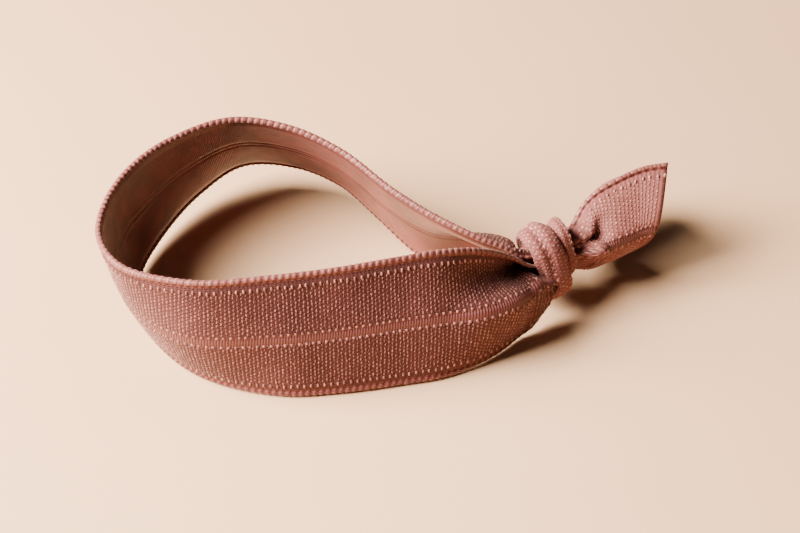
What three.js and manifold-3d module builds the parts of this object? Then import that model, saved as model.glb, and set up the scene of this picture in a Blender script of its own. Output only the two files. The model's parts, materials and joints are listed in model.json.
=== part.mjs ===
// A ribbon hair tie: one strip of fold-over elastic, bent into a loop and tied to itself with an
// overhand knot that leaves two short tails. Millimetres, +Z up, standing on its lower edge on z = 0,
// with the origin under the middle of its box.
//
// The strip is built as it is knitted: an edge cord down each side, a band of knit on each side of the
// fold line, and in each band a face layer, a layer of elastane yarns and a satin back layer.
// Each of those runs through five stretches: front leg, bend, back leg and the two tails.

import * as THREE from "three";
import { mergeVertices } from "three/addons/utils/BufferGeometryUtils.js";
import Module from "manifold-3d";

const wasm = await Module();
wasm.setup();

// The strip's own sizes.
const stripWidth = 16;
const stripThickness = 0.85;
const edgeCordRadius = 0.52;
const edgeCordInset = 0.6; // from the strip's edge to the middle of the cord
const foldLineWidth = 1.1;
const foldLineThickness = 0.7;
const elastaneThickness = 0.13;
const layerGap = 0.05;
const seamGap = 0.1; // between a band and the cord or fold line beside it
const joinGap = 0.2; // between one stretch of the strip and the next

// The knot.
const bundleRadius = 1.26; // both strands of the strip, pressed into one round bundle
const bundleClearance = 0.09; // between turns of the bundle
const strandGap = 0.1; // between the two strands of the bundle
const knotCentre = new THREE.Vector3(17.4, -6.2, 7.2);
const knotHeading = THREE.MathUtils.degToRad(43); // the knot's axis, turned from +X towards +Y
const knotRoll = THREE.MathUtils.degToRad(22); // the wrap's middle, tipped up from level
const knotReach = 4.7; // from the knot's centre to where its strands end

// Where a tail comes out of the knot, gathered.
const gatherWidth = 0.55; // the share of its width that a tail keeps at its root
const gatherFold = 0.9; // how sharply its section folds there, in radians
const gatherLength = 8;

// The tails.
const tailLength = 12.6;
const tailHeading = THREE.MathUtils.degToRad(27);
const tailSpread = THREE.MathUtils.degToRad(7); // between the two tails
const tailFold = 0.45;
const tailLift = 1.2; // how much higher a tail's end is than its root
const neckLength = 1.1; // the soft neck where a tail flexes
const sealLength = 0.5; // the melted end that keeps a tail from fraying

const standDepth = 0.07; // how deep the lower cords are pressed flat by the surface

// The loop, from the knot round to the knot: the middle of the strip in plan, how far its lower edge is
// lifted, how far its upper edge stands right of and behind its lower edge, how sharply it folds along
// its middle, and the share of its width that it keeps where the knot draws it in.
const loopGuides = [
  { x: 13.8, y: -10.3, lift: 3.3, lean: [0.4, 0.8], fold: 0.9, width: 0.55 },
  { x: 11.6, y: -12.9, lift: 0.8, lean: [-0.2, 3.4], fold: 0.7, width: 0.85 },
  { x: 8.6, y: -15.3, lift: 0, lean: [-0.4, 4.4], fold: 0.42, width: 0.98 },
  { x: 3.0, y: -17.9, lift: 0, lean: [-0.5, 4.4], fold: 0.25, width: 1 },
  { x: -4.0, y: -19.8, lift: 0, lean: [-0.7, 4.2], fold: 0.22, width: 1 },
  { x: -12.8, y: -21.1, lift: 0, lean: [-0.8, 3.1], fold: 0.2, width: 1 },
  { x: -22.0, y: -19.8, lift: 0, lean: [-1.5, 0], fold: 0.15, width: 1 },
  { x: -30.0, y: -15.0, lift: 0, lean: [-3, -2.8], fold: 0.1, width: 1 },
  { x: -33.3, y: -6.4, lift: 0, lean: [-2.9, -3.3], fold: 0.05, width: 1 },
  { x: -30.4, y: 2.6, lift: 0.9, lean: [-1.5, -4.2], fold: 0.05, width: 1 },
  { x: -24.0, y: 8.7, lift: 2.6, lean: [-0.2, -6.2], fold: 0.05, width: 1 },
  { x: -17.0, y: 10.6, lift: 4.0, lean: [0.4, -8.4], fold: 0.05, width: 1 },
  { x: -10.2, y: 8.7, lift: 3.4, lean: [0.2, -9.1], fold: 0.05, width: 1 },
  { x: -2.6, y: 3.3, lift: 0.9, lean: [0.7, -9.1], fold: 0.1, width: 1 },
  { x: 1.2, y: 0.2, lift: 0, lean: [1.5, -8.6], fold: 0.12, width: 1 },
  { x: 4.2, y: -2.2, lift: 0, lean: [2.4, -7.4], fold: 0.15, width: 0.98 },
  { x: 9.2, y: -6.0, lift: 0.9, lean: [1.8, -4.8], fold: 0.22, width: 0.82 },
  { x: 12.5, y: -8.5, lift: 3.3, lean: [0.6, -1.2], fold: 0.3, width: 0.52 },
];
const loopSteps = 38;
const bendStart = 14; // the step where the front leg ends
const bendEnd = 24; // the step where the back leg starts
const tailSteps = 7;
const knotSteps = 60;

// Half of a tight overhand knot, from one end of the bundle to the middle of the wrap that crosses
// over the front, in bundle diameters: along the axis, towards the front, and up across it.
// The other half is the same, turned end for end.
const knotHalf = [
  [-1.15, 0.02, -0.32],
  [-0.76, 0.05, -0.4],
  [-0.3, -0.1, -0.49],
  [0.11, -0.38, -0.48],
  [0.42, -0.7, -0.29],
  [0.66, -0.93, 0.08],
  [0.82, -0.95, 0.55],
  [0.9, -0.74, 0.99],
  [0.89, -0.35, 1.29],
  [0.78, 0.12, 1.39],
  [0.59, 0.56, 1.25],
  [0.38, 0.85, 0.91],
  [0.19, 0.93, 0.46],
  [0, 0.94, 0],
];

const bandStart = edgeCordInset + edgeCordRadius + seamGap;
const bandEnd = (stripWidth - foldLineWidth) / 2 - seamGap;
const bandSteps = 4; // facets across one band
const cordSides = 8;

const colours = {
  edgeCord: 0x8e5346,
  face: 0x9b6153,
  elastane: 0xd8c7bb,
  back: 0xb98173,
  foldLine: 0x7c4035,
  knot: 0xa3695c,
  seal: 0x6e3a30,
};

const up = new THREE.Vector3(0, 0, 1);
const knotAxis = new THREE.Vector3(Math.cos(knotHeading), Math.sin(knotHeading), 0);
const knotSide = new THREE.Vector3(Math.sin(knotHeading), -Math.cos(knotHeading), 0);

const group = new THREE.Group();

function addPiece(name, geometry, colour, roughness = 0.8) {
  geometry.computeVertexNormals();
  const material = new THREE.MeshStandardMaterial({ color: colour, roughness, metalness: 0 });
  const mesh = new THREE.Mesh(geometry, material);
  mesh.name = name;
  group.add(mesh);
}

function smooth(t) {
  const s = THREE.MathUtils.clamp(t, 0, 1);
  return s * s * (3 - 2 * s);
}

// The strip's section: a curve whose slope swings with a sine across the width, which folds the strip
// along its middle and keeps the edges on one chord. Returns points as [along the chord, out, slope].
function foldedSection(fold) {
  const samples = 64;
  const step = stripWidth / samples;
  const points = [[0, 0, 0]];
  for (let i = 0; i < samples; i += 1) {
    const slope = fold * Math.sin((2 * Math.PI * (i + 0.5)) / samples);
    const [along, out] = points[i];
    const next = fold * Math.sin((2 * Math.PI * (i + 1)) / samples);
    points.push([along + step * Math.cos(slope), out + step * Math.sin(slope), next]);
  }
  const chord = points[samples][0];
  return (v) => {
    const f = THREE.MathUtils.clamp(v / step, 0, samples);
    const i = Math.min(Math.floor(f), samples - 1);
    const [a, b] = [points[i], points[i + 1]].map((p) => new THREE.Vector3(...p));
    const p = a.lerp(b, f - i);
    return { along: p.x - chord / 2, out: p.y, slope: p.z };
  };
}

// A station is one place along the strip. place(v, h) gives the point that lies v across the width
// from the lower edge and h outwards from the middle of the thickness.
function makeStation(middle, chordUp, outward, scale, fold) {
  const section = foldedSection(fold);
  const place = (v, h) => {
    const s = section(v);
    const along = scale * (s.along - h * Math.sin(s.slope));
    const out = scale * (s.out + h * Math.cos(s.slope));
    return middle.clone().addScaledVector(chordUp, along).addScaledVector(outward, out);
  };
  return { middle, place };
}

// How high the middle of the chord stands above the lowest point of the strip's lower edge cord.
function chordHeight(chordUp, scale, fold) {
  const chord = 2 * foldedSection(fold)(stripWidth).along;
  const halfChord = (scale * chord) / 2 - scale * edgeCordInset;
  return halfChord * chordUp.z + scale * edgeCordRadius;
}

function curveOf(points) {
  return new THREE.CatmullRomCurve3(points.map((p) => new THREE.Vector3(...p)));
}

function loopStations() {
  const path = curveOf(loopGuides.map((g) => [g.x, g.y, 0]));
  const leans = curveOf(loopGuides.map((g) => [...g.lean, 0]));
  const shapes = curveOf(loopGuides.map((g) => [g.lift, g.fold, g.width]));
  return Array.from({ length: loopSteps + 1 }, (_, i) => {
    const t = path.getUtoTmapping(i / loopSteps);
    const lean = leans.getPoint(t);
    const shape = shapes.getPoint(t);
    const rise = Math.sqrt(stripWidth ** 2 - lean.lengthSq());
    const chordUp = new THREE.Vector3(lean.x, lean.y, rise).normalize();
    const outward = new THREE.Vector3().crossVectors(chordUp, path.getTangent(t)).normalize();
    const scale = Math.min(shape.z, 1);
    const middle = path.getPoint(t);
    middle.z = Math.max(shape.x, 0) + chordHeight(chordUp, scale, shape.y) - standDepth;
    return makeStation(middle, chordUp, outward, scale, shape.y);
  });
}

// side is 1 for the front tail and -1 for the back one; each folds away from the other.
function tailStations(side) {
  const heading = tailHeading - (side * tailSpread) / 2;
  const ahead = new THREE.Vector3(Math.cos(heading), Math.sin(heading), 0);
  const across = new THREE.Vector3(Math.sin(heading), -Math.cos(heading), 0);
  const root = knotCentre.clone().addScaledVector(knotAxis, knotReach + neckLength);
  const apart = gatherWidth * edgeCordRadius + strandGap;
  root.addScaledVector(knotSide, side * apart);
  return Array.from({ length: tailSteps + 1 }, (_, i) => {
    const u = i / tailSteps;
    const gather = 1 - smooth((u * tailLength) / gatherLength);
    const scale = THREE.MathUtils.lerp(1, gatherWidth, gather);
    const fold = THREE.MathUtils.lerp(tailFold, gatherFold, gather);
    const spread = (edgeCordRadius - gatherWidth * edgeCordRadius) * (1 - gather);
    const middle = root.clone().addScaledVector(ahead, u * tailLength);
    middle.addScaledVector(across, side * spread);
    middle.z += tailLift * u;
    return makeStation(middle, up, across.clone().multiplyScalar(side), scale, fold);
  });
}

// A closed mesh from rings of points, one ring at each station. Each ring is two rows of equal length,
// the outer one and the inner one, so that its two ends close with quads between the rows.
function loft(rings) {
  const count = rings[0].length;
  const rows = count / 2;
  const positions = rings.flat().flatMap((p) => [p.x, p.y, p.z]);
  const index = [];
  const quad = (a, b, c, d) => index.push(a, b, c, a, c, d);
  for (let r = 0; r < rings.length - 1; r += 1) {
    for (let i = 0; i < count; i += 1) {
      const j = (i + 1) % count;
      const corners = [r * count + i, r * count + j, (r + 1) * count + j, (r + 1) * count + i];
      // Both rows are split along the same diagonal, so that layers laid on each other stay parallel.
      if (i >= rows) corners.push(corners.shift());
      quad(...corners);
    }
  }
  const last = (rings.length - 1) * count;
  for (let i = 0; i < rows - 1; i += 1) {
    quad(i + 1, i, count - 1 - i, count - 2 - i);
    quad(last + i, last + i + 1, last + count - 2 - i, last + count - 1 - i);
  }
  const geometry = new THREE.BufferGeometry();
  geometry.setAttribute("position", new THREE.Float32BufferAttribute(positions, 3));
  geometry.setIndex(index);
  return facingOut(geometry);
}

function signedVolume(geometry) {
  const position = geometry.getAttribute("position");
  const corner = (i) => new THREE.Vector3().fromBufferAttribute(position, geometry.index.getX(i));
  let volume = 0;
  for (let i = 0; i < geometry.index.count; i += 3) {
    volume += corner(i).dot(corner(i + 1).cross(corner(i + 2))) / 6;
  }
  return volume;
}

function facingOut(geometry) {
  if (signedVolume(geometry) > 0) return geometry;
  const index = geometry.index.array;
  for (let i = 0; i < index.length; i += 3) [index[i + 1], index[i + 2]] = [index[i + 2], index[i + 1]];
  return geometry;
}

// A flat yarn layer, from v0 to v1 across the strip and from h0 to h1 through it.
function layer(stations, v0, v1, h0, h1, steps) {
  const across = Array.from({ length: steps + 1 }, (_, i) => THREE.MathUtils.lerp(v0, v1, i / steps));
  const back = [...across].reverse();
  return loft(stations.map(({ place }) => [
    ...across.map((v) => place(v, h1)),
    ...back.map((v) => place(v, h0)),
  ]));
}

// An edge cord of round section with its middle at v.
function cord(stations, v) {
  const angles = Array.from({ length: cordSides }, (_, i) => ((i + 0.5) * 2 * Math.PI) / cordSides);
  return loft(stations.map(({ place }) => {
    const middle = place(v, 0);
    const outward = place(v, 1).sub(middle);
    const sideways = place(v + 0.01, 0).sub(place(v - 0.01, 0)).multiplyScalar(50);
    return angles.map((angle) => middle.clone()
      .addScaledVector(sideways, edgeCordRadius * Math.cos(angle))
      .addScaledVector(outward, edgeCordRadius * Math.sin(angle)));
  }));
}

function toSolid(geometry) {
  const bare = new THREE.BufferGeometry();
  bare.setAttribute("position", geometry.getAttribute("position"));
  if (geometry.index) bare.setIndex(geometry.index);
  const merged = mergeVertices(bare, 1e-4);
  const vertProperties = new Float32Array(merged.getAttribute("position").array);
  const triVerts = new Uint32Array(merged.index.array);
  return new wasm.Manifold(new wasm.Mesh({ numProp: 3, vertProperties, triVerts }));
}

function toGeometry(solid) {
  const { vertProperties, triVerts } = solid.getMesh();
  const geometry = new THREE.BufferGeometry();
  geometry.setAttribute("position", new THREE.BufferAttribute(vertProperties, 3));
  geometry.setIndex(new THREE.BufferAttribute(triVerts, 1));
  return geometry;
}

// Cuts away what would reach below z = 0, which leaves the flat that the strip stands on.
function standOnSurface(geometry) {
  const side = 400;
  const depth = 10;
  const block = new THREE.BoxGeometry(side, side, depth);
  block.translate(0, 0, -depth / 2);
  return toGeometry(toSolid(geometry).subtract(toSolid(block)));
}

function trimEnds(stations, startGap, endGap) {
  const moved = (from, to, gap) => {
    const share = gap / from.middle.distanceTo(to.middle);
    return {
      middle: from.middle.clone().lerp(to.middle, share),
      place: (v, h) => from.place(v, h).lerp(to.place(v, h), share),
    };
  };
  const trimmed = [...stations];
  const n = stations.length;
  if (startGap > 0) trimmed[0] = moved(stations[0], stations[1], startGap);
  if (endGap > 0) trimmed[n - 1] = moved(stations[n - 1], stations[n - 2], endGap);
  return trimmed;
}

// The two halves of the strip, mirrored about its fold line.
const sides = {
  lower: (v) => v,
  upper: (v) => stripWidth - v,
};

function addStretch(stretch, stations, standing) {
  const half = stripThickness / 2;
  const core = elastaneThickness / 2;
  for (const [side, across] of Object.entries(sides)) {
    const cordShape = cord(stations, across(edgeCordInset));
    const cordOnSurface = standing && side === "lower" ? standOnSurface(cordShape) : cordShape;
    addPiece(`${stretch}_${side}_edge_cord`, cordOnSurface, colours.edgeCord, 0.7);
    const [v0, v1] = [across(bandStart), across(bandEnd)];
    const face = layer(stations, v0, v1, core + layerGap, half, bandSteps);
    const elastane = layer(stations, v0, v1, -core, core, bandSteps);
    const back = layer(stations, v0, v1, -half, -core - layerGap, bandSteps);
    addPiece(`${stretch}_${side}_knit_face`, face, colours.face, 0.6);
    addPiece(`${stretch}_${side}_elastane`, elastane, colours.elastane, 0.9);
    addPiece(`${stretch}_${side}_satin_back`, back, colours.back, 0.5);
  }
  const foldStart = (stripWidth - foldLineWidth) / 2;
  const foldEnd = foldStart + foldLineWidth;
  const foldHalf = foldLineThickness / 2;
  const foldLine = layer(stations, foldStart, foldEnd, -foldHalf, foldHalf, 2);
  addPiece(`${stretch}_fold_line`, foldLine, colours.foldLine, 0.6);
}

// The ends of a tail are melted into a narrow bead across the whole strip.
function addSealedEnd(tail, stations) {
  const last = stations[stations.length - 1];
  const before = stations[stations.length - 2];
  const step = last.middle.clone().sub(before.middle).normalize();
  const shifted = (distance) => ({
    middle: last.middle,
    place: (v, h) => last.place(v, h).addScaledVector(step, distance),
  });
  const ends = [shifted(joinGap / 2), shifted(joinGap / 2 + sealLength)];
  const half = stripThickness / 2;
  const inset = edgeCordInset - edgeCordRadius;
  const bead = layer(ends, inset, stripWidth - inset, -half, half, 2 * bandSteps);
  addPiece(`${tail}_sealed_end`, bead, colours.seal, 0.5);
}

// The knot's frame: along its axis, out through the middle of the wrap, and up across the axis.
function knotPlace(along, out, across) {
  const outward = knotSide.clone().multiplyScalar(Math.cos(knotRoll)).addScaledVector(up, Math.sin(knotRoll));
  const upward = up.clone().multiplyScalar(Math.cos(knotRoll)).addScaledVector(knotSide, -Math.sin(knotRoll));
  return knotCentre.clone()
    .addScaledVector(knotAxis, along)
    .addScaledVector(outward, out)
    .addScaledVector(upward, across);
}

function knotPath() {
  const pitch = 2 * (bundleRadius + bundleClearance);
  const firstHalf = knotHalf.map(([along, out, across]) => [along, out, across]);
  const secondHalf = knotHalf.slice(0, -1).reverse().map(([along, out, across]) => [-along, out, -across]);
  const turns = [...firstHalf, ...secondHalf].map((p) => knotPlace(...p.map((value) => value * pitch)));
  const ends = [knotPlace(-knotReach, 0, 0), knotPlace(knotReach, 0, 0)];
  return new THREE.CatmullRomCurve3([ends[0], ...turns, ends[1]]);
}

// One strand of the knot is half of the bundle's round section.
function strandShape(side) {
  const arcSteps = 8;
  const shape = new THREE.Shape();
  const start = Math.asin(strandGap / 2 / bundleRadius);
  for (let i = 0; i <= arcSteps; i += 1) {
    const angle = THREE.MathUtils.lerp(start, Math.PI - start, i / arcSteps);
    const x = bundleRadius * Math.cos(angle);
    const y = side * bundleRadius * Math.sin(angle);
    if (i === 0) shape.moveTo(x, y);
    else shape.lineTo(x, y);
  }
  shape.closePath();
  return shape;
}

function addKnot() {
  const path = knotPath();
  for (const [name, side] of [["knot_front_strand", 1], ["knot_back_strand", -1]]) {
    const options = { steps: knotSteps, extrudePath: path, bevelEnabled: false };
    const strand = new THREE.ExtrudeGeometry(strandShape(side), options);
    addPiece(name, toGeometry(toSolid(strand)), colours.knot, 0.7);
  }
}

function addTail(name, side) {
  const stations = tailStations(side);
  addStretch(name, stations, false);
  addSealedEnd(name, stations);
  const root = stations[0];
  const neckStart = knotAxis.clone().multiplyScalar(-neckLength + joinGap);
  const neck = [
    { place: (v, h) => root.place(v, h).add(neckStart) },
    { place: (v, h) => root.place(v, h).addScaledVector(knotAxis, -joinGap) },
  ];
  const half = stripThickness / 2;
  addPiece(`${name}_neck`, layer(neck, bandStart, stripWidth - bandStart, -half, half, 8), colours.knot, 0.7);
}

const stations = loopStations();
addStretch("front_leg", trimEnds(stations.slice(0, bendStart + 1), 0, joinGap), true);
addStretch("bend", stations.slice(bendStart, bendEnd + 1), true);
addStretch("back_leg", trimEnds(stations.slice(bendEnd), joinGap, 0), true);
addKnot();
addTail("front_tail", 1);
addTail("back_tail", -1);

// The origin goes under the middle of the whole piece's box.
const box = new THREE.Box3().setFromObject(group, true);
group.position.set(-(box.min.x + box.max.x) / 2, -(box.min.y + box.max.y) / 2, -box.min.z);

export default group;
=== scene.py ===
import json
import math
import bpy
import numpy as np
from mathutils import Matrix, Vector


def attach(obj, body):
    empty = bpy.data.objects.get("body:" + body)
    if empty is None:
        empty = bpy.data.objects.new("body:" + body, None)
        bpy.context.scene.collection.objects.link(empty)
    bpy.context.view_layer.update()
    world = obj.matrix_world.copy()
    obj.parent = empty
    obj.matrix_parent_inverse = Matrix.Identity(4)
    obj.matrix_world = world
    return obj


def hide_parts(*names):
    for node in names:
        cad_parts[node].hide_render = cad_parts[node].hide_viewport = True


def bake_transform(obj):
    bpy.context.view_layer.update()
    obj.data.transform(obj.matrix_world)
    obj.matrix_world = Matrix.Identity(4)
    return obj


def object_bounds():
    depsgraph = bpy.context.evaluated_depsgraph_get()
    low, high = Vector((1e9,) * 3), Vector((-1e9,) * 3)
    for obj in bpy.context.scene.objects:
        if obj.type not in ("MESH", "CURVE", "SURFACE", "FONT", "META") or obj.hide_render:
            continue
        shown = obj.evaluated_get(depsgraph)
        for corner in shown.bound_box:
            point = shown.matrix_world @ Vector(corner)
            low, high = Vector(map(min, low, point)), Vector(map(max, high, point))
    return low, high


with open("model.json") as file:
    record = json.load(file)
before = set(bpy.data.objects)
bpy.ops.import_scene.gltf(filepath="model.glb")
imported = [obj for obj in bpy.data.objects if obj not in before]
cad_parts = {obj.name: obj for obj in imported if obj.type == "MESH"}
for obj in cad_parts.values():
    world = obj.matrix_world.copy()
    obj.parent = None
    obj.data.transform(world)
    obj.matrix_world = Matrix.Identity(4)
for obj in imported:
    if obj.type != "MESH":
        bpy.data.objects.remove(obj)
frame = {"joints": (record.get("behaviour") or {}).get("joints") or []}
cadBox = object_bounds()
mm = 0.001
draws = np.random.default_rng(11)

# the knot's place, found from the hinge of the front tail
knotPlace = {"heading": 43, "toTails": 5.3}
tailJoint = next(j for j in frame["joints"] if j["name"] == "front_tail_flex")
tailPivot = np.array(tailJoint["pos_m"]) / mm
knotHeading = math.radians(knotPlace["heading"])
alongKnot = np.array([math.cos(knotHeading), math.sin(knotHeading), 0.0])
knotMiddle = tailPivot - knotPlace["toTails"] * alongKnot
knotX, knotY = knotMiddle[:2]


def unit(vectors):
    return vectors / np.maximum(np.linalg.norm(vectors, axis=-1, keepdims=True), 1e-9)


def flow(stops, values, at, calm=False):
    # a smooth curve through the values; calm keeps it from swinging past them
    stops = np.asarray(stops, float)
    values = np.asarray(values, float)
    if values.ndim == 1:
        return flow(stops, values[:, None], at, calm)[:, 0]
    gaps = np.diff(stops)[:, None]
    rates = np.diff(values, axis=0) / gaps
    slopes = np.empty_like(values)
    slopes[0], slopes[-1] = rates[0], rates[-1]
    before, after = gaps[:-1], gaps[1:]
    slopes[1:-1] = (rates[:-1] * after + rates[1:] * before) / (before + after)
    if calm:
        product = rates[:-1] * rates[1:]
        total = np.where(np.abs(rates[:-1] + rates[1:]) < 1e-9, 1, rates[:-1] + rates[1:])
        slopes[1:-1] = np.where(product > 0, 2 * product / total, 0)
    i = np.clip(np.searchsorted(stops, at, side="right") - 1, 0, len(stops) - 2)
    t = ((at - stops[i]) / (stops[i + 1] - stops[i]))[:, None]
    gap = gaps[i]
    return (
        values[i] * (1 + 2 * t) * (1 - t) ** 2
        + slopes[i] * gap * t * (1 - t) ** 2
        + values[i + 1] * t * t * (3 - 2 * t)
        + slopes[i + 1] * gap * t * t * (t - 1)
    )


def reachAlong(line):
    # distance from the start of a line to each of its points
    return np.concatenate([[0], np.cumsum(np.linalg.norm(np.diff(line, axis=0), axis=1))])


def runningSum(rates, step):
    total = np.zeros_like(rates)
    total[:, 1:] = np.cumsum((rates[:, 1:] + rates[:, :-1]) / 2, axis=1) * step
    return total


# the strip as a surface, in mm; a guide gives its slopes at the slope stops across the width
ribbon = {"width": 16.0, "pleats": 5, "pleatSlope": 80, "pleatSharpness": 2.5, "pleatStart": 0.6}
slopeStops = [0, 3, 6.6, 9.4, 11.8, 14.2, 16]
stripWidth = ribbon["width"]


class Strip:
    # guides: lower edge, upper edge, slopes across the width (+ leans outward on the way up), and
    # how far the strip is gathered there, 0 to 1
    def __init__(self, guides, facing, step=0.2):
        self.facing = facing
        low = np.array([g[0] for g in guides], float)
        high = np.array([g[1] for g in guides], float)
        slopes = np.array([g[2] for g in guides], float)
        gather = np.array([g[3] if len(g) > 3 else 0 for g in guides], float)
        middle = (low + high) / 2
        reach = reachAlong(middle)
        self.length = reach[-1]
        self.alongStops = np.linspace(0, self.length, int(self.length / step) + 1)
        self.acrossStops = np.linspace(0, stripWidth, 129)
        lowLine = flow(reach, low, self.alongStops)
        highLine = flow(reach, high, self.alongStops)
        lean = flow(reach, slopes, self.alongStops, calm=True)
        lean = flow(slopeStops, lean.T, self.acrossStops, calm=True).T
        # where it is gathered, the strip folds up into fine pleats
        share = flow(reach, gather, self.alongStops, calm=True)[:, None]
        turns = self.acrossStops * (2 * math.pi * ribbon["pleats"] / stripWidth) + ribbon["pleatStart"]
        pleats = np.tanh(ribbon["pleatSharpness"] * np.sin(turns))
        lean = np.radians(lean * (1 - share) + ribbon["pleatSlope"] * share * pleats[None])
        spacing = self.acrossStops[1]
        rise = runningSum(np.cos(lean), spacing)
        depth = runningSum(np.sin(lean), spacing)
        swing = np.arctan2(depth[:, -1], rise[:, -1])[:, None]
        rise, depth = (
            rise * np.cos(swing) + depth * np.sin(swing),
            depth * np.cos(swing) - rise * np.sin(swing),
        )
        chord = np.linalg.norm(highLine - lowLine, axis=1)
        rise = rise * (chord / rise[:, -1])[:, None]
        up = unit(highLine - lowLine)
        heading = unit(np.gradient((lowLine + highLine) / 2, axis=0))
        out = unit(np.cross(up, heading)) * facing
        self.points = lowLine[:, None] + up[:, None] * rise[..., None]
        self.points = self.points + out[:, None] * depth[..., None]
        self.normals = facing * unit(
            np.cross(np.gradient(self.points, axis=1), np.gradient(self.points, axis=0))
        )
        # the layers press together where the strip is gathered
        self.fullness = np.clip(rise[:, -1] / stripWidth, 0.3, 1) ** 0.6

    def place(self, along, across, height):
        rows, cols = self.points.shape[:2]
        i = np.clip(along / self.alongStops[1], 0, rows - 1.001)
        j = np.clip(across / self.acrossStops[1], 0, cols - 1.001)
        i0, j0 = i.astype(int), j.astype(int)
        fi, fj = (i - i0)[..., None], (j - j0)[..., None]

        def mix(grid):
            near = grid[i0, j0] * (1 - fj) + grid[i0, j0 + 1] * fj
            far = grid[i0 + 1, j0] * (1 - fj) + grid[i0 + 1, j0 + 1] * fj
            return near * (1 - fi) + far * fi

        full = self.fullness[i0] * (1 - fi[..., 0]) + self.fullness[i0 + 1] * fi[..., 0]
        return mix(self.points) + unit(mix(self.normals)) * (height * full)[..., None]


def makeMesh(name, points, faces, surface, finishes, faceFinish=None, glint=None, corners=()):
    mesh = bpy.data.meshes.new(name)
    mesh.vertices.add(len(points))
    mesh.vertices.foreach_set("co", (np.asarray(points) * mm).astype(np.float32).ravel())
    quads = np.asarray(faces, np.int32)
    triangles = np.asarray(corners, np.int32).reshape(-1, 3)
    ends = np.concatenate([quads.ravel(), triangles.ravel()])
    sides = np.repeat([4, 3], [len(quads), len(triangles)]).astype(np.int32)
    mesh.loops.add(len(ends))
    mesh.loops.foreach_set("vertex_index", ends)
    mesh.polygons.add(len(sides))
    mesh.polygons.foreach_set("loop_start", (np.cumsum(sides) - sides).astype(np.int32))
    mesh.polygons.foreach_set("loop_total", sides)
    layer = mesh.uv_layers.new(name="weave")
    layer.data.foreach_set("uv", np.asarray(surface, np.float32)[ends].ravel())
    if glint is not None:
        attribute = mesh.attributes.new("glint", "FLOAT", "POINT")
        attribute.data.foreach_set("value", np.asarray(glint, np.float32))
    for finish in finishes:
        mesh.materials.append(finish)
    if faceFinish is not None:
        mesh.polygons.foreach_set("material_index", np.asarray(faceFinish, np.int32))
    mesh.polygons.foreach_set("use_smooth", np.ones(len(sides), bool))
    mesh.update()
    mesh.validate()
    piece = bpy.data.objects.new(name, mesh)
    bpy.context.scene.collection.objects.link(piece)
    return piece


class Value:
    # wraps a socket so that shader maths reads as plain expressions
    def __init__(self, finish, socket):
        self.finish = finish
        self.socket = socket

    def maths(self, operation, *others, clamp=False):
        settings = {"operation": operation, "use_clamp": clamp}
        return self.finish.node("ShaderNodeMath", settings, dict(enumerate([self, *others])))

    def __add__(self, other):
        return self.maths("ADD", other)

    __radd__ = __add__

    def __mul__(self, other):
        return self.maths("MULTIPLY", other)

    __rmul__ = __mul__

    def __sub__(self, other):
        return self.maths("SUBTRACT", other)

    def __rsub__(self, other):
        return (self * -1) + other

    def sine(self):
        return self.maths("SINE")

    def clamped(self):
        return self.maths("MULTIPLY", 1.0, clamp=True)

    def between(self, low, high):
        return self.finish.node(
            "ShaderNodeMapRange",
            {"interpolation_type": "SMOOTHSTEP", "clamp": True},
            {"Value": self, "From Min": low, "From Max": high},
            "Result",
        )


class Finish:
    def __init__(self, name):
        self.material = bpy.data.materials.new(name)
        self.material.use_nodes = True
        self.tree = self.material.node_tree
        self.tree.nodes.clear()
        self.output = self.tree.nodes.new("ShaderNodeOutputMaterial")

    def node(self, kind, settings=None, sockets=None, result=0):
        made = self.tree.nodes.new(kind)
        for name, value in (settings or {}).items():
            setattr(made, name, value)
        for name, value in (sockets or {}).items():
            if isinstance(value, Value):
                value = value.socket
            if isinstance(value, bpy.types.NodeSocket):
                self.tree.links.new(value, made.inputs[name])
            else:
                made.inputs[name].default_value = value
        return Value(self, made.outputs[result])

    def weave(self):
        # distance along the strip and across it, in mm
        uv = self.node("ShaderNodeUVMap", {"uv_map": "weave"})
        parts = self.tree.nodes.new("ShaderNodeSeparateXYZ")
        self.tree.links.new(uv.socket, parts.inputs[0])
        return Value(self, parts.outputs[0]), Value(self, parts.outputs[1])

    def noise(self, scale, detail=2.0, rough=0.55):
        place = self.node("ShaderNodeTexCoord", result="Object")
        return self.node(
            "ShaderNodeTexNoise",
            {},
            {"Vector": place, "Scale": scale, "Detail": detail, "Roughness": rough},
            "Fac",
        )

    def blendColours(self, share, first, second):
        return self.node("ShaderNodeMix", {"data_type": "RGBA"}, {0: share, 6: first, 7: second}, 2)

    def bump(self, height, strength, depth):
        return self.node(
            "ShaderNodeBump",
            {},
            {"Height": height, "Strength": strength, "Distance": depth * mm},
            "Normal",
        )

    def shade(self, sockets):
        shader = self.node("ShaderNodeBsdfPrincipled", {}, sockets, "BSDF")
        self.tree.links.new(shader.socket, self.output.inputs["Surface"])
        return self.material


def tint(red, green, blue):
    # screen colour, 0 to 255, to the linear colour that a shader takes
    def linear(c):
        c = c / 255
        return c / 12.92 if c <= 0.04045 else ((c + 0.055) / 1.055) ** 2.4

    return (linear(red), linear(green), linear(blue), 1.0)


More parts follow.
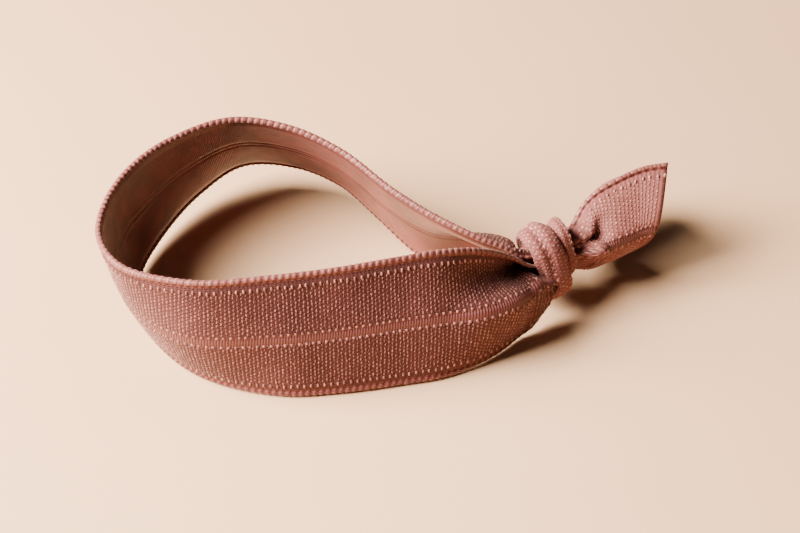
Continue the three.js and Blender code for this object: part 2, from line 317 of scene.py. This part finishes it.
# colours of each yarn, dull or deep first and bright or raised second
yarn = {
    "ground": (tint(62, 29, 27), tint(88, 46, 42)),
    # the knot and tails take lighter copies of the ground and face colours: painted light, as they stand in
    # stronger light than the loop
    "litKnotGround": (tint(104, 56, 51), tint(130, 76, 70)),
    "face": (tint(98, 53, 49), tint(160, 106, 95)),
    "litKnotFace": (tint(130, 78, 72), tint(170, 120, 111)),
    "edge": (tint(102, 54, 49), tint(166, 112, 101)),
    "foldBeads": (tint(104, 56, 50), tint(162, 108, 96)),
    "satin": (tint(70, 18, 16), tint(106, 42, 38)),
    "cord": (tint(82, 37, 34), tint(118, 66, 59)),
    "foldLine": (tint(84, 42, 40), tint(104, 58, 54)),
    "melted": (tint(96, 42, 34), tint(150, 78, 66)),
}
gloss = {"tint": tint(246, 220, 208), "sheen": tint(232, 172, 150)}

# how the strip is made across its width and along it, in mm
weave = {
    "cordRadius": 0.36,
    "cordInset": 0.38,
    "bandHalf": 0.34,
    "foldHalf": 0.26,
    "grooveHalf": 0.2,
    "foldMiddle": 8.0,
    "foldHalfWidth": 0.42,
    "column": 0.45,
    "course": 0.47,
    "bead": 0.77,
    "leg": 0.235,
    "satinRib": 0.22,
    "satinFloat": 0.62,
    "cordWrap": 0.78,
    "foldRib": 0.31,
}


def waves(distance, pitch, shift=None):
    turns = distance * (2 * math.pi / pitch)
    return (turns if shift is None else turns + shift).sine()


def knitGround(name, colours, sheen):
    f = Finish(name)
    along, across = f.weave()
    ribs = waves(along, weave["column"])
    legs = waves(across, weave["leg"], ribs * 1.7)
    fibres = f.noise(5200, 3, 0.65)
    # the colour mixes random blotches with painted shade: darker where the knit legs and fibres sink,
    # lighter where they rise
    blotchAndShade = f.noise(160, 3) * 0.6 + legs * 0.12 + fibres * 0.4
    colour = f.blendColours(blotchAndShade.between(0.32, 0.68), *colours)
    height = ribs * 0.5 + legs * 0.5 + fibres * 1.2
    return f.shade(
        {
            "Base Color": colour,
            "Roughness": fibres * 0.2 + 0.6,
            "Normal": f.bump(height, 0.65, 0.06),
            "Sheen Weight": sheen,
            "Sheen Roughness": 0.4,
            "Sheen Tint": gloss["sheen"],
            "Specular IOR Level": 0.25,
            "Specular Tint": gloss["tint"],
        }
    )


def shinyYarn(name, colours, rough):
    f = Finish(name)
    glint = f.node("ShaderNodeAttribute", {"attribute_name": "glint"}, {}, "Fac")
    colour = f.blendColours(glint.clamped(), *colours)
    fibres = f.noise(5200, 2, 0.6)
    return f.shade(
        {
            "Base Color": colour,
            "Roughness": (1 - glint) * 0.2 + rough,
            "Normal": f.bump(fibres, 0.6, 0.05),
            "Sheen Weight": 0.1,
            "Specular IOR Level": 0.45,
            "Specular Tint": gloss["tint"],
        }
    )


def satinBack():
    f = Finish("satin_back")
    along, across = f.weave()
    ribs = waves(along, weave["satinRib"])
    floats = waves(across, weave["satinFloat"], ribs * 0.8)
    worn = f.noise(210, 3).between(0.3, 0.72)
    colour = f.blendColours(worn, *yarn["satin"])
    height = ribs * 0.6 + floats * 0.3 + f.noise(1500, 2) * 0.5
    return f.shade(
        {
            "Base Color": colour,
            "Roughness": f.noise(700, 2) * 0.16 + 0.3,
            "Normal": f.bump(height, 0.35, 0.03),
            "Sheen Weight": 0.15,
            "Sheen Roughness": 0.35,
            "Sheen Tint": gloss["sheen"],
            "Specular IOR Level": 0.5,
            "Specular Tint": gloss["tint"],
        }
    )


def cordYarn(name, colours, pitch):
    f = Finish(name)
    along, across = f.weave()
    wraps = waves(along, pitch, across * 2.0)
    # the colour follows the wraps: painted shade in the grooves between them, lighter on their crests
    colour = f.blendColours(wraps.between(-0.6, 0.9), *colours)
    return f.shade(
        {
            "Base Color": colour,
            "Roughness": f.noise(900, 2) * 0.2 + 0.36,
            "Normal": f.bump(wraps + f.noise(3000, 2) * 0.6, 0.5, 0.05),
            "Sheen Weight": 0.15,
            "Sheen Roughness": 0.4,
            "Sheen Tint": gloss["sheen"],
            "Specular IOR Level": 0.35,
            "Specular Tint": gloss["tint"],
        }
    )


def meltedEnd():
    f = Finish("melted_end")
    blobs = f.noise(1200, 3)
    # the colour follows the blobs: painted shade in their dips, lighter on their tops
    colour = f.blendColours(blobs.between(0.35, 0.7), *yarn["melted"])
    return f.shade(
        {
            "Base Color": colour,
            "Roughness": blobs * 0.25 + 0.25,
            "Normal": f.bump(blobs, 0.6, 0.08),
            "Specular IOR Level": 0.5,
        }
    )


groundFinish = knitGround("knit_ground", yarn["ground"], 0.2)
# the knot and tails get lighter copies of the loop's ground and face finishes: painted light
litKnotFinish = knitGround("knot_ground_painted_lit", yarn["litKnotGround"], 0.1)
litSoftDashFinish = shinyYarn("soft_knit_yarn_painted_lit", yarn["litKnotFace"], 0.4)
dashFinish = shinyYarn("shining_knit_yarn", yarn["face"], 0.38)
stitchFinish = shinyYarn("shining_edge_yarn", yarn["edge"], 0.34)
foldStitchFinish = shinyYarn("shining_fold_yarn", yarn["foldBeads"], 0.34)
satinFinish = satinBack()
cordFinish = cordYarn("edge_cord_yarn", yarn["cord"], weave["cordWrap"])
foldFinish = cordYarn("fold_yarn", yarn["foldLine"], weave["foldRib"])
meltedFinish = meltedEnd()
print("materials made")


def crossSection():
    # places across the strip from edge to edge, and half its thickness at each
    radius, inset = weave["cordRadius"], weave["cordInset"]
    turns = np.radians([0, 22, 45, 68, 90, 112, 134, 152])
    places = list(inset - radius * np.cos(turns))
    halves = list(radius * np.sin(turns))
    places += [inset + radius + 0.12, inset + radius + 0.4]
    halves += [weave["grooveHalf"], weave["bandHalf"]]
    fold, reach = weave["foldMiddle"], weave["foldHalfWidth"]
    band = list(np.linspace(1.85, fold - reach - 0.2, 12))
    halves += [weave["bandHalf"]] * len(band)
    places += band + [fold - reach, fold - reach * 0.6, fold]
    halves += [weave["foldHalf"] + rise for rise in (0, 0.07, 0.1)]
    places += [stripWidth - p for p in places[-2::-1]]
    halves += halves[-2::-1]
    return np.array(places), np.array(halves)


def tubeFaces(size, rows, turned):
    # faces of a closed tube of rings; both ends close with quads and a triangle at each edge
    row = np.arange(rows - 1)[:, None] * size
    j = np.arange(size)[None, :]
    k = (j + 1) % size
    quads = np.stack([row + j, row + k, row + k + size, row + j + size], axis=-1).reshape(-1, 4).tolist()
    corners = []
    for base, reverse in ((0, True), ((rows - 1) * size, False)):
        for c in range(size // 2):
            ring = [c, c + 1, size - c - 1, (size - c) % size]
            face = [base + r for r in dict.fromkeys(ring)]
            if reverse:
                face.reverse()
            (quads if len(face) == 4 else corners).append(face)
    way = -1 if turned else 1
    return np.array(quads)[:, ::way], np.array(corners)[:, ::way]


def stripBody(name, strip, ground, step=0.35):
    places, halves = crossSection()
    count = len(places)
    rows = int(strip.length / step) + 1
    along = np.linspace(0, strip.length, rows)
    ring = np.concatenate([places, places[-2:0:-1]])
    heights = np.concatenate([halves, -halves[-2:0:-1] * 0.94])
    size = len(ring)
    alongGrid = np.repeat(along, size)
    acrossGrid = np.tile(ring, rows)
    heightGrid = np.tile(heights, rows)
    points = strip.place(alongGrid, acrossGrid, heightGrid)
    surface = np.stack([alongGrid, acrossGrid], axis=1)
    faces, corners = tubeFaces(size, rows, strip.facing < 0)
    middle = np.tile((ring + np.roll(ring, -1)) / 2, rows - 1)
    isFace = np.tile(np.arange(size) < count - 1, rows - 1)
    fromEdge = np.minimum(middle, stripWidth - middle)
    finish = np.where(isFace, 0, 1)
    finish[fromEdge < 1.0] = 2
    finish[(np.abs(middle - weave["foldMiddle"]) < weave["foldHalfWidth"] + 0.1) & isFace] = 3
    finish = np.concatenate([finish, np.full(len(faces) + len(corners) - len(finish), 4)])
    finishes = [ground, satinFinish, cordFinish, foldFinish, meltedFinish]
    return makeMesh(name, points, faces, surface, finishes, finish, corners=corners)


def gridFaces(columns, rows):
    # quads between the points of a grid
    corner = (np.arange(columns - 1)[:, None] * rows + np.arange(rows - 1)).ravel()
    return np.stack([corner, corner + rows, corner + rows + 1, corner + 1], axis=-1)


def dome(halfAlong, halfAcross, height, columns=5, courses=5, tuck=0.12):
    # a little raised stitch, its rim sunk into the ground under it
    u, w = np.meshgrid(np.linspace(-1, 1, columns), np.linspace(-1, 1, courses), indexing="ij")
    swell = (1 - u**2) * (1 - w**2)
    rounded = u * np.sqrt(1 - w**2 / 2), w * np.sqrt(1 - u**2 / 2)
    lift = height * np.sqrt(swell) - tuck * (swell < 1e-6)
    shape = np.stack([rounded[0] * halfAlong, rounded[1] * halfAcross, lift], -1)
    return shape.reshape(-1, 3), gridFaces(columns, courses)


def wrapStitch(side, columns=5, turns=9):
    # one turn of the yarn that binds an edge cord; side is -1 at the lower edge and 1 at the upper one
    radius = weave["cordRadius"]
    u, w = np.meshgrid(np.linspace(-1, 1, columns), np.linspace(-1, 1, turns), indexing="ij")
    angle = w * math.radians(98)
    reach = radius - 0.02 + 0.07 * np.sqrt(np.maximum(0, 1 - u**2)) * (1 - 0.25 * w**4)
    shape = np.stack([u * 0.25 + w * 0.1, side * reach * np.cos(angle), reach * np.sin(angle)], -1)
    return shape.reshape(-1, 3), gridFaces(columns, turns)


class Stitches:
    # gathers many copies of small stitches on one surface, then makes them one piece
    def __init__(self, surface):
        self.surface = surface
        self.points, self.faces, self.places, self.glints = [], [], [], []
        self.count = 0

    def add(self, template, along, across, height, glint, size=None, turn=None):
        shape, faces = template
        n, k = len(along), len(shape)
        local = np.repeat(shape[None], n, axis=0)
        if size is not None:
            local = local * size[:, None, None]
        if turn is not None:
            c, s = np.cos(turn)[:, None], np.sin(turn)[:, None]
            x, y, z = np.moveaxis(local, -1, 0)
            local = np.stack([x * c - y * s, x * s + y * c, z], -1)
        a = along[:, None] + local[..., 0]
        b = across[:, None] + local[..., 1]
        h = height[:, None] + local[..., 2]
        self.points.append(self.surface.place(a.ravel(), b.ravel(), h.ravel()))
        self.places.append(np.stack([a.ravel(), b.ravel()], 1))
        self.glints.append(np.repeat(glint, k))
        offsets = self.count + np.arange(n)[:, None, None] * k
        if self.surface.facing > 0:
            faces = faces[:, ::-1]
        self.faces.append((faces[None] + offsets).reshape(-1, 4))
        self.count += n * k

    def piece(self, name, finish):
        return makeMesh(
            name,
            np.concatenate(self.points),
            np.concatenate(self.faces),
            np.concatenate(self.places),
            [finish],
            glint=np.concatenate(self.glints),
        )


def rowOf(first, last, pitch, shift=0.0):
    return np.arange(first + pitch * shift, last, pitch)


# the face yarns: half length and width, height, and how far they stray
faceYarn = {"along": 0.21, "across": 0.25, "height": 0.085, "fromEdge": 2.05, "fromFold": 1.05}
faceStray = {"along": 0.03, "across": 0.035, "turn": 0.12}


def faceStitches(name, strip, first, last, finish=dashFinish):
    made = Stitches(strip)
    dash = dome(faceYarn["along"], faceYarn["across"], faceYarn["height"], columns=3)
    column, course = weave["column"], weave["course"]
    fold, inner, beside = weave["foldMiddle"], faceYarn["fromEdge"], faceYarn["fromFold"]
    for low, high in ((inner, fold - beside), (fold + beside, stripWidth - inner)):
        rows = int(round((high - low) / course)) + 1
        columns = rowOf(first, last, column)
        for c in range(2):
            a, b = np.meshgrid(columns[c::2], np.linspace(low, high, rows), indexing="ij")
            a = a + draws.normal(0, faceStray["along"], a.shape)
            b = b + c * course * 0.5 + draws.normal(0, faceStray["across"], b.shape)
            glint = np.clip(draws.beta(2.0, 3.2, a.shape) * 1.15, 0, 1)
            made.add(
                dash,
                a.ravel(),
                b.ravel(),
                np.full(a.size, weave["bandHalf"]),
                glint.ravel(),
                size=draws.uniform(0.82, 1.15, a.size),
                turn=draws.normal(0, faceStray["turn"], a.size),
            )
    return made.piece(name, finish)


# the bars beside the edge cords
edgeYarn = {"along": 0.18, "across": 0.34, "height": 0.12, "fromCord": 1.16, "stray": 0.03}


def edgeStitches(name, strip, first, last):
    made = Stitches(strip)
    pitch, stray = weave["bead"], edgeYarn["stray"]
    along = rowOf(first, last, pitch)
    bar = dome(edgeYarn["along"], edgeYarn["across"], edgeYarn["height"])
    for side, edge in ((-1, weave["cordInset"]), (1, stripWidth - weave["cordInset"])):
        jitter = draws.normal(0, stray, along.size)
        made.add(
            wrapStitch(side),
            along + jitter,
            np.full(along.size, edge),
            np.zeros(along.size),
            draws.uniform(0.0, 0.4, along.size),
        )
        bars = along + pitch * 0.5 + draws.normal(0, stray, along.size)
        made.add(
            bar,
            bars,
            np.full(along.size, edge - side * edgeYarn["fromCord"]) + draws.normal(0, stray, along.size),
            np.full(along.size, weave["bandHalf"]),
            draws.uniform(0.1, 0.8, along.size),
        )
    return made.piece(name, stitchFinish)


# the two rows of beads beside the fold line
foldYarn = {"along": 0.24, "across": 0.23, "height": 0.11, "fromFold": 0.66, "sunk": 0.03, "stray": 0.03}


def foldStitches(name, strip, first, last):
    made = Stitches(strip)
    pitch = weave["bead"]
    bead = dome(foldYarn["along"], foldYarn["across"], foldYarn["height"])
    for side in (-1, 1):
        along = rowOf(first, last, pitch, 0.25 * (1 + side))
        made.add(
            bead,
            along + draws.normal(0, foldYarn["stray"], along.size),
            np.full(along.size, weave["foldMiddle"] + side * foldYarn["fromFold"]),
            np.full(along.size, weave["bandHalf"] - foldYarn["sunk"]),
            draws.uniform(0.1, 0.75, along.size),
        )
    return made.piece(name, foldStitchFinish)


def atKnot(x, y, z):
    # a place given from the knot's middle on the plan, and from the table
    return (knotX + x, knotY + y, z)


# the loop
flat = [0, 0, 0, 0, 0, 0, 0]
loopGuides = [
    (atKnot(0.3, -0.8, 5.8), atKnot(-0.4, -0.6, 8.0), flat, 1),
    (atKnot(0.1, -1.9, 4.2), atKnot(-1.0, -1.8, 7.6), [30, 20, -30, -110, -100, 74, 86], 0.6),
    (atKnot(-0.3, -3.1, 2.3), atKnot(-1.6, -2.8, 8.0), [20, 4, -18, -114, -100, 72, 84], 0.2),
    (atKnot(-1.2, -4.4, 1.1), atKnot(-2.3, -3.2, 8.5), [8, -6, -14, -112, -98, 70, 84], 0.04),
    (atKnot(-2.0, -5.4, 0.7), atKnot(-2.8, -3.5, 9.0), [4, -6, -12, -106, -96, 50, 78]),
    (atKnot(-3.2, -6.3, 0.4), atKnot(-3.5, -3.7, 9.8), [6, 0, -6, -98, -84, 30, 62]),
    (atKnot(-5.7, -8.8, 0.2), atKnot(-5.9, -5.0, 12.2), [16, 16, 10, -92, -66, 10, 44]),
    (atKnot(-8.1, -10.8, 0.2), atKnot(-8.3, -6.3, 14.0), [16, 16, 12, -66, -38, 4, 16]),
    (atKnot(-12.8, -13.3, 0.2), atKnot(-12.9, -8.3, 15.6), [9, 9, 4, -12, -10, -6, -2]),
    (atKnot(-17.4, -14.4, 0.2), atKnot(-17.6, -9.8, 15.9), [7, 7, 3, -8, -7, -5, -3]),
    (atKnot(-24.3, -15.7, 0.2), atKnot(-24.6, -11.7, 16.0), [6, 6, 3, -6, -6, -4, -3]),
    (atKnot(-31.2, -16.1, 0.2), atKnot(-31.7, -13.1, 16.1), [8, 7, 4, -6, -7, -6, -5]),
    (atKnot(-40.6, -12.8, 0.2), atKnot(-41.4, -13.9, 16.1), [15, 14, 8, -9, -13, -13, -12]),
    (atKnot(-45.9, -7.2, 0.2), atKnot(-49.0, -11.0, 15.9), [8, 7, 4, -5, -7, -7, -6]),
    (atKnot(-48.6, -1.8, 0.2), atKnot(-51.9, -5.5, 15.6), [3, 3, 1, -2, -3, -3, -2]),
    (atKnot(-48.9, 4.2, 0.4), atKnot(-51.5, 0.0, 16.0), [4, 4, 2, -3, -4, -3, -2]),
    (atKnot(-46.9, 10.5, 0.8), atKnot(-49.0, 5.3, 16.7), flat),
    (atKnot(-42.4, 17.7, 2.0), atKnot(-43.7, 10.2, 17.4), flat),
    (atKnot(-37.5, 21.1, 3.6), atKnot(-37.9, 12.8, 17.7), flat),
    (atKnot(-30.0, 20.6, 3.8), atKnot(-30.1, 11.7, 17.2), flat),
    (atKnot(-24.9, 18.3, 3.0), atKnot(-24.5, 8.8, 16.2), flat),
    (atKnot(-19.9, 13.4, 1.6), atKnot(-18.4, 3.3, 14.8), flat),
    (atKnot(-15.2, 8.3, 0.3), atKnot(-13.4, 0.1, 13.5), [4, 5, 4, -6, -8, -4, 0]),
    (atKnot(-9.9, 4.0, 0.4), atKnot(-8.1, -1.8, 12.0), [26, 30, 18, -30, -44, -10, 30], 0.05),
    (atKnot(-6.2, 1.2, 2.2), atKnot(-5.0, -2.0, 10.6), [50, 52, 30, -50, -64, 10, 50], 0.3),
    (atKnot(-3.6, -0.8, 5.2), atKnot(-3.1, -1.9, 9.0), [72, 66, -40, -60, 70, -60, 70], 0.8),
    (atKnot(-1.2, -0.7, 6.2), atKnot(-1.0, -0.9, 8.2), flat, 1),
]
loop = Strip(loopGuides, 1)
print("loop laid out:", round(loop.length, 1), "mm")
loopBody = stripBody("loop_band", loop, groundFinish)
bareAtKnot = 1.2
loopStitches = [
    faceStitches("loop_knit_face", loop, bareAtKnot, loop.length - bareAtKnot),
    edgeStitches("loop_edge_stitches", loop, bareAtKnot, loop.length - bareAtKnot),
    foldStitches("loop_fold_stitches", loop, bareAtKnot, loop.length - bareAtKnot),
]

# the tails
frontTailGuides = [
    (atKnot(0.8, 0.9, 6.2), atKnot(0.8, 1.1, 8.2), flat, 1),
    (atKnot(2.2, 2.0, 5.8), atKnot(2.2, 2.4, 8.4), [84, 82, 70, -86, 60, -84, -76], 0.6),
    (atKnot(2.9, 2.2, 4.3), atKnot(3.0, 3.9, 9.2), [74, 66, 40, -86, 44, -76, -68]),
    (atKnot(3.4, 2.9, 3.0), atKnot(3.8, 5.0, 10.3), [70, 52, 24, -74, 30, -54, -60]),
    (atKnot(4.4, 3.8, 2.1), atKnot(5.2, 6.0, 11.6), [64, 46, 20, -54, -8, -40, -48]),
    (atKnot(5.9, 4.8, 1.8), atKnot(8.1, 7.3, 13.0), [58, 44, 18, -34, -32, -38, -36]),
    (atKnot(7.9, 6.1, 1.6), atKnot(11.8, 8.7, 13.9), [54, 44, 20, -26, -34, -36, -34]),
    (atKnot(9.3, 7.0, 1.7), atKnot(14.5, 9.1, 14.1), [52, 44, 24, -24, -34, -36, -36]),
]
backTailGuides = [
    (atKnot(0.5, 1.2, 6.2), atKnot(0.5, 1.4, 8.0), flat, 1),
    (atKnot(2.1, 2.6, 5.6), atKnot(2.1, 2.8, 7.8), flat, 1),
    (atKnot(3.3, 3.9, 4.0), atKnot(3.3, 4.1, 7.8), flat, 0.95),
    (atKnot(4.8, 5.3, 2.6), atKnot(4.8, 5.5, 8.2), [40, 30, 20, -30, -30, -30, -30], 0.75),
    (atKnot(6.4, 6.7, 1.6), atKnot(6.4, 6.7, 8.8), [60, 50, 30, -36, -50, -54, -50], 0.4),
    (atKnot(8.8, 8.4, 1.0), atKnot(8.9, 8.2, 9.3), [70, 56, 30, -34, -56, -60, -58], 0.1),
    (atKnot(11.0, 10.0, 0.8), atKnot(11.2, 9.8, 9.7), [70, 56, 28, -30, -56, -62, -60]),
    (atKnot(12.8, 11.0, 0.8), atKnot(13.0, 10.7, 9.9), [68, 54, 26, -28, -54, -60, -58]),
]
tailBare = {"atNeck": 1.5, "faceEnd": 0.4, "edgeEnd": 0.5}
tails = {}
for side, guides, facing in (("front", frontTailGuides, -1), ("back", backTailGuides, 1)):
    tail = Strip(guides, facing)
    name = side + "_tail"
    first, last = tailBare["atNeck"], tail.length - tailBare["faceEnd"]
    pieces = [
        stripBody(name + "_band", tail, litKnotFinish),
        faceStitches(name + "_knit_face", tail, first, last, litSoftDashFinish),
        edgeStitches(name + "_edge_stitches", tail, first, tail.length - tailBare["edgeEnd"]),
        foldStitches(name + "_fold_stitches", tail, first, last),
    ]
    tails[name] = (tail, pieces)
    print(side, "tail laid out:", round(tail.length, 1), "mm")

# the knot: its roll about its own line, its half sizes, how far it leans, and its seat
knotShape = {"roll": 22, "along": 2.0, "out": 2.35, "across": 2.6, "lean": 0.38, "seat": (-0.5, 0.1, -0.95)}
knotRoll = math.radians(knotShape["roll"])
sideways = np.array([math.sin(knotHeading), -math.cos(knotHeading), 0.0])
upward = np.array([0.0, 0.0, 1.0])
outOfKnot = sideways * math.cos(knotRoll) + upward * math.sin(knotRoll)
acrossKnot = upward * math.cos(knotRoll) - sideways * math.sin(knotRoll)
knotSeat = knotMiddle + knotShape["seat"]
# half of one strand's path, along the knot, out of it and across it; the other half mirrors it
halfWrap = [
    (-1.15, 0.02, -0.32),
    (-0.76, 0.05, -0.4),
    (-0.3, -0.1, -0.49),
    (0.11, -0.38, -0.48),
    (0.42, -0.7, -0.29),
    (0.66, -0.93, 0.08),
    (0.82, -0.95, 0.55),
    (0.9, -0.74, 0.99),
    (0.89, -0.35, 1.29),
    (0.78, 0.12, 1.39),
    (0.59, 0.56, 1.25),
    (0.38, 0.85, 0.91),
    (0.19, 0.93, 0.46),
    (0.0, 0.94, 0.0),
]


# each strand: how far it lies along the knot, its section, the size of its wrap, its height and
# where its two rows of beads run round it
strands = {
    "front": {
        "offset": 0.3,
        "halfWidth": 1.95,
        "halfDepth": 1.2,
        "girth": 1.0,
        "lift": 0.1,
        "seed": 3,
        "beads": (3.2, 9.5),
    },
    "back": {
        "offset": -2.0,
        "halfWidth": 0.95,
        "halfDepth": 0.9,
        "girth": 0.85,
        "lift": 1.35,
        "seed": 8,
        "beads": (5.2, 12.5),
    },
}


class Strand:
    # a gathered, lengthwise-creased strand that follows a path; across runs once round it
    def __init__(self, shape):
        self.shape = shape
        self.facing = -1
        path = np.array(halfWrap + [(-a, o, -c) for a, o, c in halfWrap[-2::-1]])
        girth = shape["girth"]
        path = path * [knotShape["along"], knotShape["out"] * girth, knotShape["across"] * girth]
        path[:, 0] -= knotShape["lean"] * path[:, 2]
        line = knotSeat + upward * shape["lift"] + path[:, :1] * alongKnot
        line = line + path[:, 1:2] * outOfKnot + path[:, 2:] * acrossKnot
        reach = reachAlong(line)
        self.length = reach[-1]
        self.alongStops = np.linspace(0, self.length, int(self.length / 0.1) + 1)
        centre = flow(reach, line, self.alongStops)
        heading = unit(np.gradient(centre, axis=0))
        rows = len(centre)
        side = np.zeros_like(centre)
        middle = rows // 2
        side[middle] = unit(np.cross(heading[middle], outOfKnot))
        for step in (1, -1):
            i = middle
            while 0 <= i + step < rows:
                moved = side[i] - heading[i + step] * np.dot(side[i], heading[i + step])
                side[i + step] = unit(moved)
                i += step
        self.side = side
        self.out = np.cross(side, heading)
        self.centre = centre + side * shape["offset"]
        fromMiddle = np.abs(np.linspace(-1, 1, rows))
        self.open = 1 - 0.4 * np.clip((fromMiddle - 0.25) / 0.4, 0, 1)
        self.phase = np.random.default_rng(shape["seed"]).uniform(0, 6.28, 6)
        # both ends draw in where the strand goes into the loop or the neck
        toEnd = np.minimum(self.alongStops, self.length - self.alongStops)
        self.swell = 0.35 + 0.65 * np.clip(toEnd / 2.4, 0, 1) ** 0.7

    def place(self, along, across, height):
        i = np.clip(along / self.alongStops[1], 0, len(self.centre) - 1.001)
        i0 = i.astype(int)
        f = (i - i0)[..., None]
        centre = self.centre[i0] * (1 - f) + self.centre[i0 + 1] * f
        side = self.side[i0] * (1 - f) + self.side[i0 + 1] * f
        out = self.out[i0] * (1 - f) + self.out[i0 + 1] * f
        angle = across * (2 * math.pi / stripWidth)
        p = self.phase
        crease = (
            0.13 * np.sin(3 * angle + p[0] + 0.10 * along)
            + 0.07 * np.sin(5 * angle + p[1] - 0.22 * along)
            + 0.05 * np.sin(8 * angle + p[2] + 0.3 * along)
            + 0.05 * np.sin(0.9 * along + p[3] + 2 * angle)
            + 0.04 * np.sin(1.9 * along + p[4] - 3 * angle)
        )
        opened = self.open[i0]
        swell = self.swell[i0]
        wide = self.shape["halfWidth"] * opened * swell * (1 + crease) + height
        deep = self.shape["halfDepth"] * swell * (1 + crease) + height
        sidewise = side * (np.cos(angle) * wide)[..., None]
        return centre + sidewise + out * (np.sin(angle) * deep)[..., None]


def strandBody(name, strand):
    rows = int(strand.length / 0.22) + 1
    size = 48
    along = np.repeat(np.linspace(0, strand.length, rows), size)
    across = np.tile(np.arange(size) * (stripWidth / size), rows)
    points = strand.place(along, across, np.zeros(along.size))
    faces, corners = tubeFaces(size, rows, True)
    surface = np.stack([along, across], axis=1)
    return makeMesh(name, points, faces, surface, [litKnotFinish], corners=corners)


# stitches on the strands, and the bare length at each end
knotYarn = {"along": 0.2, "across": 0.36, "height": 0.06, "pitch": 0.44, "rows": 13, "bareEnd": 0.6}
knotBead = {"along": 0.24, "across": 0.4, "height": 0.1, "sway": 0.5}


def strandStitches(name, strand):
    made = Stitches(strand)
    dash = dome(knotYarn["along"], knotYarn["across"], knotYarn["height"], columns=3)
    pitch, rows, bareEnd = knotYarn["pitch"], knotYarn["rows"], knotYarn["bareEnd"]
    for c in range(2):
        alongRows = rowOf(bareEnd + c * pitch / 2, strand.length - bareEnd, pitch)
        aroundRows = (np.arange(rows) + 0.5 * c) * stripWidth / rows
        a, b = np.meshgrid(alongRows, aroundRows, indexing="ij")
        a = a + draws.normal(0, 0.03, a.shape)
        made.add(
            dash,
            a.ravel(),
            b.ravel(),
            np.zeros(a.size),
            np.clip(draws.beta(1.6, 3.4, a.size) * 1.2, 0, 1),
            size=draws.uniform(0.8, 1.1, a.size),
        )
    return made.piece(name, litSoftDashFinish)


def strandBeads(name, strand, places):
    made = Stitches(strand)
    bead = dome(knotBead["along"], knotBead["across"], knotBead["height"])
    for place in places:
        along = rowOf(knotYarn["bareEnd"], strand.length - knotYarn["bareEnd"], weave["bead"])
        made.add(
            bead,
            along + draws.normal(0, 0.04, along.size),
            place + knotBead["sway"] * np.sin(along * 0.35),
            np.zeros(along.size),
            draws.uniform(0.4, 1.0, along.size),
        )
    return made.piece(name, foldStitchFinish)


knotPieces = []
for side, shape in strands.items():
    strand = Strand(shape)
    name = "knot_" + side + "_strand"
    knotPieces.append(strandBody(name + "_band", strand))
    knotPieces.append(strandStitches(name + "_knit", strand))
    knotPieces.append(strandBeads(name + "_beads", strand, shape["beads"]))
    print(side, "strand of the knot tied:", round(strand.length, 1), "mm")

# what each piece stands for: the slot and layers of a band, its face, its edges and its fold
bandLayers = [
    ("satin_back", ["lower_elastane", "lower_satin_back", "upper_elastane", "upper_satin_back"]),
    ("knit_face", ["lower_knit_face", "upper_knit_face"]),
    ("edge_cord", ["lower_edge_cord", "upper_edge_cord"]),
    ("fold_line", ["fold_line"]),
]


def standIn(pieces, stretches, extra=()):
    for piece, (slot, layers) in zip(pieces, bandLayers):
        nodes = [stretch + "_" + layer for stretch in stretches for layer in layers]
        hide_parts(*nodes, *(extra if slot == "satin_back" else ()))
        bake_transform(piece)


loopPieces = [loopBody, *loopStitches]
standIn(loopPieces, ("front_leg", "bend", "back_leg"))
for name, (tail, pieces) in tails.items():
    ends = [name + "_sealed_end", name + "_neck"]
    standIn(pieces, (name,), ends)
for piece in knotPieces:
    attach(piece, "knot")
    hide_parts("knot_front_strand" if "front" in piece.name else "knot_back_strand")

# the table
tableLook = {"size": 3.0, "dark": tint(200, 157, 119), "pale": tint(208, 167, 130), "roughness": 0.6}


def tableTop():
    f = Finish("pale_table")
    grain = f.noise(6, 4)
    colour = f.blendColours(grain.between(0.3, 0.7), tableLook["dark"], tableLook["pale"])
    sockets = {"Base Color": colour, "Roughness": tableLook["roughness"], "Specular IOR Level": 0.3}
    return f.shade(sockets)


bpy.ops.mesh.primitive_plane_add(size=tableLook["size"], location=(0, 0, cadBox[0][2]))
table = bpy.context.object
table.name = "table"
table.data.materials.append(tableTop())


# light
lights = {
    "key": {"place": (-0.275, -0.05, 0.225), "size": 0.23, "power": 13.6, "colour": (1.0, 0.93, 0.86)},
    "fill": {"place": (0.1, -0.6, 0.5), "size": 0.7, "power": 0.1, "colour": (1.0, 0.93, 0.88)},
}
roomLight = {"colour": (1.0, 0.93, 0.86, 1.0), "strength": 0.05}
for name, values in lights.items():
    data = bpy.data.lights.new(name + "_light", "AREA")
    data.size = values["size"]
    data.energy = values["power"]
    data.color = values["colour"]
    lamp = bpy.data.objects.new(name + "_light", data)
    lamp.location = values["place"]
    lamp.rotation_euler = (-lamp.location).to_track_quat("-Z", "Y").to_euler()
    bpy.context.scene.collection.objects.link(lamp)
world = bpy.data.worlds.new("room")
world.use_nodes = True
background = world.node_tree.nodes["Background"]
background.inputs["Color"].default_value = roomLight["colour"]
background.inputs["Strength"].default_value = roomLight["strength"]
bpy.context.scene.world = world

# camera, aimed at a place on the table given from the knot
camera = {"distance": 0.293, "elevation": 42, "lens": 108, "aim": (-17.4, 6.2, 0)}
aim = Vector(atKnot(*camera["aim"])) * mm
tilt = math.radians(camera["elevation"])
eye = bpy.data.cameras.new("camera")
eye.lens = camera["lens"]
eye.sensor_width = 36
eye.clip_start = 0.01
viewer = bpy.data.objects.new("camera", eye)
viewer.location = aim + Vector((0, -math.cos(tilt), math.sin(tilt))) * camera["distance"]
viewer.rotation_euler = (aim - viewer.location).to_track_quat("-Z", "Y").to_euler()
bpy.context.scene.collection.objects.link(viewer)
bpy.context.scene.camera = viewer
print("table, light and camera set")
